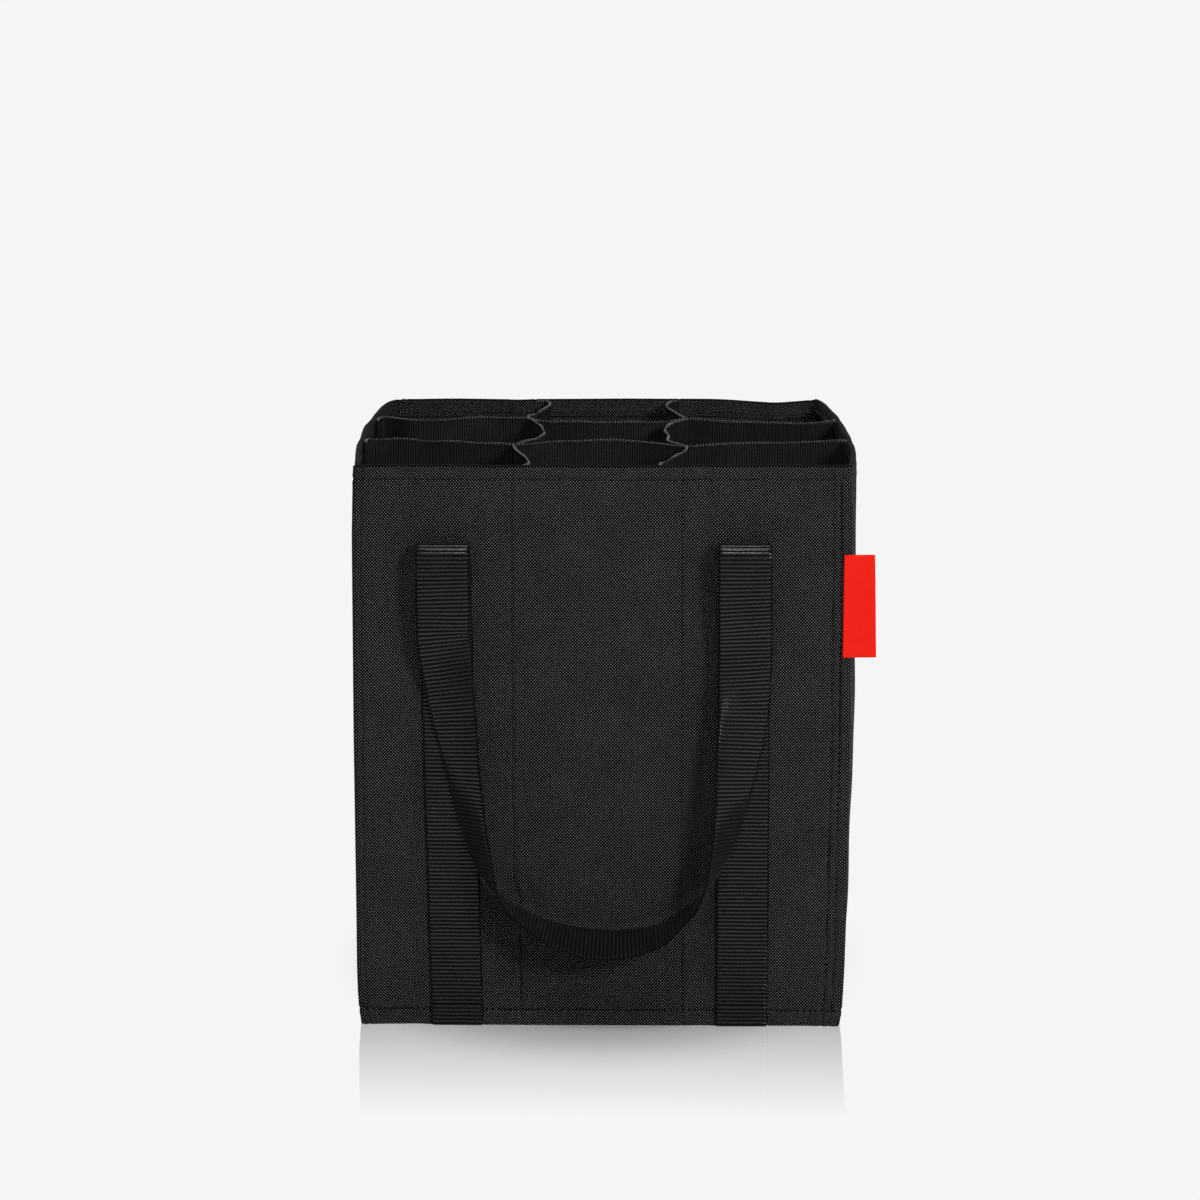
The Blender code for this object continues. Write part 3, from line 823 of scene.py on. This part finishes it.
# skew lists how far the cords lean, as pairs of place along the band and slope
def makeWebbing(name, path, across, normal, skew=((0, 0), (1, 0)), s=webbingSettings):
    cord = webbingLook["cord"]
    marks, (path, across, normal) = resample(path, (across, normal), cord / s["samples"])
    across, normal = unit(across), unit(normal)
    slope = np.interp(marks, *np.array(skew).T)
    ends = np.minimum(marks, marks[-1] - marks)
    taper = np.sqrt(np.clip(1 - (1 - np.clip(ends / s["taper"], 0, 1)) ** 2, 0.06, 1))
    upper = s["profile"]
    section = [(-1.0, 0.0)] + upper + [(1.0, 0.0)] + [(u, -v) for u, v in reversed(upper)]
    grid, weave = [], []
    for u, v in section:
        reach = u * s["width"] / 2
        place = marks - reach * slope + 0.00009 * ripple(marks, reach + 0 * marks, 0.03, len(name))
        beat = np.abs(np.sin(math.pi * place / cord)) ** 0.7
        half = s["thickness"] / 2 * (1 - s["cordDepth"] * (1 - beat)) * taper
        reach = reach * (1 - 0.010 * (1 - beat) * abs(u))
        grid.append(path + across * reach[:, None] + normal * (v * half)[:, None])
        weave.append(np.stack([reach, place], -1))
    grid, weave = np.stack(grid, 1), np.stack(weave, 1)
    rows, columns = grid.shape[:2]
    n = len(upper)
    caps = []
    for row, way in ((0, -1), (rows - 1, 1)):
        base = row * columns
        quads = [[base + k, base + k + 1, base + 2 * n + 1 - k, base + 2 * n + 2 - k] for k in range(1, n)]
        points = [[base, base + 1, base + 2 * n + 1], [base + n, base + n + 1, base + n + 2]]
        caps += [np.array(quads)[:, ::way], np.array(points)[:, ::way]]
    return makeMesh(name, grid, [gridFaces(rows, columns, False, True)] + caps, webbing, weave)


strapSettings = {
    "lean": shellSettings["straps"]["lean"],
    "foot": 0.0118,
    "edgeStitch": 0.0022,
    "turn": 0.00105,
    "footRows": {"left": [0.0080], "right": [0.0068, 0.0048]},  # stitches across, up from the floor
}
half, thick = webbingSettings["width"] / 2, webbingSettings["thickness"]
strapY = halfDepth + clear + thick / 2
foldRadius = -foldAxis[1] - halfDepth - clear
limbOffset = foldRadius - thick / 2
runTop = foldAxis[2] - math.sqrt((foldRadius + clear) ** 2 - (foldRadius - thick) ** 2)


def strapMiddle(side, z, s=strapSettings):
    share = (z - s["foot"]) / (foldAxis[2] - s["foot"])
    return side * strapPlace + (-s["lean"] if side < 0 else 0) * share


# A piece of the front stays as it is, and its copy is turned round to the back
atFront, atBack = np.array([1, 1, 1]), np.array([-1, -1, 1])


def makeStrap(name, node, side, hand, way, s):
    z = np.linspace(s["foot"], runTop, 60)
    path = np.stack([strapMiddle(side, z), -strapY - 0.0001 * ripple(z, 0 * z, 0.07, side + 2.0), z], -1)
    across = np.tile([1.0, 0, 0], (len(z), 1))
    normal = np.tile([0, -1.0, 0], (len(z), 1))
    piece = makeWebbing(name, path * way, across * way, normal * way)
    dress(piece, "bag", "webbing", node)
    lines = []
    for edge in (-1, 1):
        shift = np.array([edge * (half - s["edgeStitch"]), -thick / 2 + 0.00012, 0])
        lines.append(((path + shift) * way, normal * way))
    for height in s["footRows"][hand]:
        x = np.linspace(-half + s["edgeStitch"], half - s["edgeStitch"], 12)
        row = np.stack([side * strapPlace + x, 0 * x - strapY - thick / 2 + 0.0001, 0 * x + height], -1)
        lines.append((row * way, normal[:12] * way))
    return lines


def makeBaseStrap(name, node, side, s):
    turnZ = s["turn"] + thick / 2
    angles = np.linspace(0, math.pi / 2, 9)
    corner = np.stack([-(halfDepth + s["turn"] * np.cos(angles)), turnZ - s["turn"] * np.sin(angles)], -1)
    rise = np.stack([np.full(8, -halfDepth - s["turn"]), np.linspace(s["foot"] - clear, turnZ + 0.0004, 8)], -1)
    under = np.stack([np.linspace(-halfDepth + 0.002, 0, 30), np.full(30, thick / 2)], -1)
    front = np.vstack([rise, corner, under])
    line = np.vstack([front, front[-2::-1] * np.array([-1, 1])])
    path = np.column_stack([np.full(len(line), side * strapPlace), line])
    along = unit(np.gradient(path, axis=0))
    across = np.tile([1.0, 0, 0], (len(path), 1))
    piece = makeWebbing(name, path, across, np.cross(along, across))
    return dress(piece, "bag", "webbing", node)


strapLines = []
for way, end in ((atFront, "front"), (atBack, "back")):
    for side, hand in ((-1, "left"), (1, "right")):
        shown = "left" if side * way[0] < 0 else "right"
        name = end + shown.capitalize() + "Strap"
        strapLines += makeStrap(name, f"{end}_{shown}_strap", side, hand, way, strapSettings)
dress(makeStitches("strapStitches", strapLines, 0.0022, 0.0006, 0.00017, strapThread), "bag", "webbing")
for side, hand in ((-1, "left"), (1, "right")):
    makeBaseStrap(hand + "BaseStrap", hand + "_base_strap", side, strapSettings)
print("sewn webbing made")


# Handle loops: the outer edge hangs against the bag, and the inner edge turns forward
loopSettings = {
    "drop": 0.1905,
    "lieDrop": 0.110,  # the outer edge lies against the bag from this far down
    "leanIn": 0.0004,
    "curl": math.radians(47),  # how far below the axis the sewn end goes on round the fold
    # outer edge: across, from limb to limb, and down, as shares of half the gap and of the drop
    "shares": [(-1, 0.12), (-0.997, 0.24), (-0.928, 0.42), (-0.842, 0.60), (-0.762, 0.74), (-0.674, 0.84),
               (-0.556, 0.905), (-0.396, 0.95), (-0.193, 0.985), (0.101, 1), (0.351, 0.985), (0.485, 0.95),
               (0.612, 0.905), (0.720, 0.84), (0.822, 0.74), (0.911, 0.60), (0.987, 0.42), (1.003, 0.24), (1, 0.12)],
    # turn of the band, in degrees, at shares of its length
    "turn": [(0, 0), (0.09, 0), (0.16, 24.5), (0.23, 42.4), (0.29, 53.7), (0.345, 65), (0.40, 86.5), (0.50, 106.8),
             (0.60, 89), (0.655, 70.4), (0.71, 54), (0.77, 35.3), (0.84, 14.3), (0.91, 0), (1, 0)],
    # lean of the cords, at lengths from either end
    "skew": [(0, 0), (0.026, 0), (0.040, 0.038), (0.065, 0.020), (0.100, 0)],
    "endSkew": [(0.130, 0), (0.080, 0.055), (0.045, 0.035), (0.026, 0), (0, 0)],
}


def makeLoop(name, node, body, way, s):
    left, right = strapMiddle(-1, foldAxis[2]) - half, strapMiddle(1, foldAxis[2]) + half
    middle, reach = (left + right) / 2, (right - left) / 2
    keys = [(left, 0)] + [(middle + reach * x, s["drop"] * drop) for x, drop in s["shares"]] + [(right, 0)]
    route = spline(keys, evenSteps(keys, 0.0010))
    x, drop = route[:, 0], route[:, 1]
    lie = mix(-limbOffset, foldRadius - 1.5 * thick - clear, smooth(drop / s["lieDrop"]))
    y = lie + smooth((drop / s["drop"] - 0.5) * 2) * s["leanIn"]
    edge = np.stack([x, y, -drop], -1)
    along = unit(np.gradient(route, axis=0))
    turn = spline(s["turn"], np.linspace(0, len(s["turn"]) - 1, 600))
    share = arcLength(route) / arcLength(route)[-1]
    twist = np.radians(np.maximum(np.interp(share, turn[:, 0], turn[:, 1]), 0))
    outward = np.stack([-along[:, 1], 0 * x, -along[:, 0]], -1)
    across = outward * np.cos(twist)[:, None] + np.array([0, 1, 0]) * np.sin(twist)[:, None]
    centre = edge - across * half
    normal = unit(np.cross(across, unit(np.gradient(centre, axis=0))))
    # the turn at each fold, from its curled end round to the top of the limb
    angles = np.linspace(-s["curl"], math.pi, 40)[:-1]
    radial = np.stack([0 * angles, np.cos(angles), np.sin(angles)], -1)
    folds = []
    for end, out in ((left, -1), (right, 1)):
        turning = radial * limbOffset + np.array([end - out * half, 0, 0])
        folds.append((turning, np.tile([out, 0.0, 0], (len(angles), 1)), radial))
    parts = zip(folds[0], (centre, across, normal), folds[1])
    path, across, normal = (np.vstack([first, rest, last[::-1]]) for first, rest, last in parts)
    length = arcLength(path)[-1]
    skew = s["skew"] + [(length - at, lean) for at, lean in s["endSkew"]]
    piece = makeWebbing(name, (path + foldAxis) * way, across * way, normal * way, skew)
    print(name, "is", round(length * 1000), "mm long")
    return dress(piece, body, "webbing", node)


makeLoop("frontLoop", "front_handle", "front_loop", atFront, loopSettings)
makeLoop("backLoop", "back_handle", "back_loop", atBack, loopSettings)
print("handle loops made")


# Side tab: a ribbon folded over, its two ends in the seam
tabSettings = {"ribbon": 0.00032, "between": 0.00010, "flare": 0.00135, "curve": 0.0006, "out": 0.0001,
               "down": 0.0009, "before": 0.0009}


def makeTab(s):
    low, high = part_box("side_label")
    middle = -halfDepth - s["before"]
    reach = high.x - low.x
    radius = s["between"] / 2 + s["ribbon"] / 2
    out = np.linspace(-0.0008, reach - radius - s["ribbon"] / 2, 26)
    angles = np.linspace(-math.pi / 2, math.pi / 2, 7)[1:-1]
    lineX = np.concatenate([out, out[-1] + radius * np.cos(angles), out[::-1]])
    lineY = np.concatenate([0 * out - radius, radius * np.sin(angles), 0 * out + radius])
    z = np.linspace(low.z, high.z, 40) - s["down"]
    share = np.linspace(0, 1, 40)
    x = low.x + s["out"] + lineX[None] + s["flare"] * (0.5 - share)[:, None] * (lineX / reach)[None]
    bend = s["curve"] * np.sin(math.pi * share)[:, None] * (np.clip(lineX / reach, 0, 1) ** 2)[None]
    y = middle + lineY[None] - bend
    points = np.stack([x, y, z[:, None] + 0 * x + 0.0002 * (lineX / reach)[None]], -1)
    normals = gridNormals(points)
    along = arcLength(np.stack([lineX, lineY], -1))
    weave = np.stack([along[None] + 0 * x, z[:, None] + 0 * x], -1)
    outer, inner = points + normals * s["ribbon"] / 2, points - normals * s["ribbon"] / 2
    piece = makeSheet("sideTab", outer, inner, weave, tabRibbon)
    return dress(piece, "bag", "tab", "side_label")


tab = makeTab(tabSettings)
print("side tab made")


# Studio: pale floor and backdrop, a key light from the right, one high in front and one high behind
studio = {
    "paper": 0.913,
    "floor": 0.80,
    "ring": (0.150, 0.190),  # half axes of the shadow's ring on the floor
    "shadow": (0.62, 1.0),  # shares of that ring over which it fades
    "reflection": 1.15,
    "reflectionReach": 0.119,
    "key": {"at": (0.80, -1.40, 0.85), "size": 0.34, "power": 17},
    "front": {"at": (0.0, -1.05, 1.60), "size": 0.45, "power": 14},
    "top": {"at": (0.05, 0.36, 1.5), "size": 0.8, "power": 22},
    "ambient": 0.11,
}


def makeFloor(s):
    mesh = bpy.data.meshes.new("floor")
    far = 6.0
    mesh.from_pydata([(-far, -far, 0), (far, -far, 0), (far, far, 0), (-far, far, 0)], [], [(0, 1, 2, 3)])
    floor = addObject("floor", mesh)
    finish = Finish("paleFloor", Base_Color=(*greys(s["floor"]), 1), Roughness=0.9, Specular_IOR_Level=0.0)
    place = finish.node("ShaderNodeTexCoord", output="Object")
    x, y = (finish.node("ShaderNodeSeparateXYZ", (), [place], i) for i in range(2))
    seen = finish.node("ShaderNodeLightPath", output="Is Camera Ray")
    # only the floor close to the bag shows its shadow and its reflection; the rest is plain paper
    wide, deep = s["ring"]
    ring = ((x * (1 / wide)) ** 2 + (y * (1 / deep)) ** 2) ** 0.5
    outside = ring.step(*s["shadow"])
    gap = x.sum("MAXIMUM", x.size() - halfWidth, y.size() - halfDepth)
    fade = x.sum("MAXIMUM", 1 - gap * (1 / s["reflectionReach"]), 0.0)
    glow = finish.node("ShaderNodeEmission", (), {"Color": (*greys(s["paper"]), 1)})
    mirror = finish.node("ShaderNodeBsdfGlossy", (), {"Color": (1, 1, 1, 1), "Roughness": 0.05})
    shader = Wire(finish, finish.shader.outputs[0])
    paper = finish.node("ShaderNodeMixShader", (), {0: outside * seen, 1: shader, 2: glow})
    grazing = finish.node("ShaderNodeLayerWeight", (), {"Blend": 0.5}, "Facing") ** 2.0
    mixed = finish.node("ShaderNodeMixShader", (), {0: fade * grazing * s["reflection"], 1: paper, 2: mirror})
    finish.tree.links.new(mixed.socket, finish.tree.nodes["Material Output"].inputs[0])
    mesh.materials.append(finish.material)


# The backdrop shows white to the camera and in gloss, all but the dim room in front of the bag
def makeWorld(s):
    world = bpy.data.worlds.new("studio")
    bpy.context.scene.world = world
    nodes = Nodes(world)
    sees, gloss, through = (nodes.node("ShaderNodeLightPath", output=ray + " Ray")
                            for ray in ("Is Camera", "Is Glossy", "Is Transmission"))
    heading = nodes.node("ShaderNodeTexCoord", output="Generated")
    behind = nodes.node("ShaderNodeSeparateXYZ", (), [heading], 1).step(-0.25, 0.15)
    shown = sees.sum("MINIMUM", sees + through + gloss * behind, 1.0)
    colour = nodes.blend(shown, greys(s["ambient"]), greys(s["paper"]))
    nodes.tree.links.new(colour.socket, nodes.tree.nodes["Background"].inputs[0])


def makeLamp(name, at, size, power, aim=(0, 0, 0.14)):
    lamp = bpy.data.lights.new(name, "AREA")
    lamp.shape, lamp.size, lamp.energy = "DISK", size, power
    holder = addObject(name, lamp)
    back = np.array(at) - np.array(aim)
    holder.location = at
    holder.rotation_euler = (math.atan2(math.hypot(back[0], back[1]), back[2]), 0, math.atan2(back[0], -back[1]))


def makeCamera():
    data = bpy.data.cameras.new("camera")
    data.lens, data.sensor_width = 83.32, 36
    data.clip_start, data.clip_end = 0.05, 50
    camera = addObject("camera", data)
    heading, pitch, roll = 0.0229, 0.2062, -0.0031
    turn = Matrix.Translation((0.0314, -1.4454, 0.4963))
    for angle, axis in ((heading, "Z"), (math.pi / 2 - pitch, "X"), (roll, "Z")):
        turn = turn @ Matrix.Rotation(angle, 4, axis)
    camera.matrix_world = turn
    bpy.context.scene.camera = camera


makeFloor(studio)
makeWorld(studio)
for name in ("key", "front", "top"):
    makeLamp(name, **studio[name])
makeCamera()
bpy.context.scene.view_settings.view_transform = "Standard"
